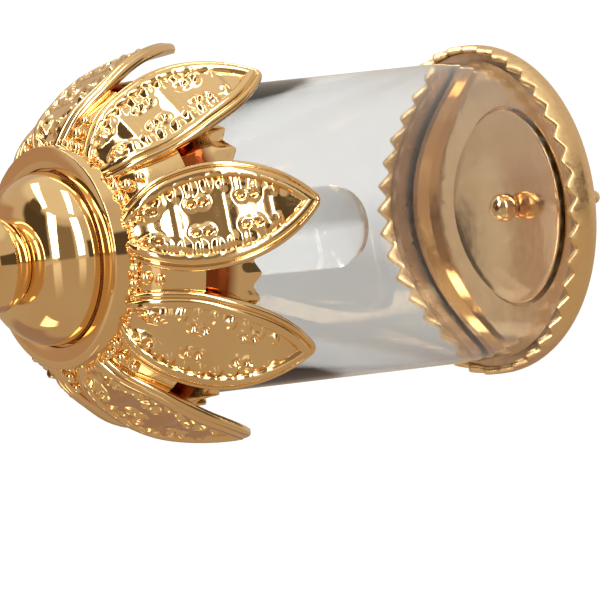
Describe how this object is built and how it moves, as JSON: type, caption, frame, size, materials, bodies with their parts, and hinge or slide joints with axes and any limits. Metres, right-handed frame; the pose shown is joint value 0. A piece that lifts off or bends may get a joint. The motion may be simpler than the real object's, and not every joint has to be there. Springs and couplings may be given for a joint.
{
  "type": "sample vial",
  "caption": "Clear tube vial with a toothed gold foot, a leaf-petal gold head, a domed screw stopper with a clear dauber rod, and a hanging eye at each end.",
  "frame": {"origin": "centre of the hanging eye's bore", "axes": "+Z along the vial from the foot to the hanging eye, +X along the bores of both eyes at rest"},
  "size_m": [0.02, 0.02, 0.0433],
  "materials": {
    "gold_plate": "polished gold plate",
    "raw_brass": "turned",
    "clear_tube": "clear",
    "clear_rod": "clear",
    "seat_plastic": "matte",
    "cement": "set adhesive",
    "soft_seal": "soft"
  },
  "bodies": {
    "vial": {"foot_plate": "raw_brass", "foot_seat": "seat_plastic", "foot_cement": "cement", "foot_cup": "gold_plate", "glass_tube": "clear_tube", "head_cement": "cement", "head_seal": "soft_seal", "head_cup": "gold_plate", "petal_cup": "gold_plate", "bead_ring": "gold_plate", "collar": "gold_plate", "neck_bush": "raw_brass"},
    "foot_pin": {"foot_eye_pin": "gold_plate"},
    "seal": {"seal_washer": "soft_seal"},
    "stopper": {"stopper_dome": "gold_plate", "stopper_stud": "raw_brass", "dauber_rod": "clear_rod", "finial_bead": "gold_plate", "hanging_eye": "gold_plate"}
  },
  "joints": [
    {"name": "foot_pin_swivel", "type": "hinge", "parent": "vial", "child": "foot_pin", "pos_m": [0, 0, -0.03965], "axis": [0, 0, 1], "continuous": true},
    {"name": "stopper_rise", "type": "slide", "parent": "vial", "child": "seal", "axis": [0, 0, 1], "range_m": [0, 0.024]},
    {"name": "stopper_turn", "type": "hinge", "parent": "seal", "child": "stopper", "pos_m": [0, 0, 0], "axis": [0, 0, 1], "range_deg": [0, 5761]}
  ],
  "couplings": [
    {"joint": "stopper_turn", "follows": "stopper_rise", "rad_per_m": 4188.8}
  ]
}
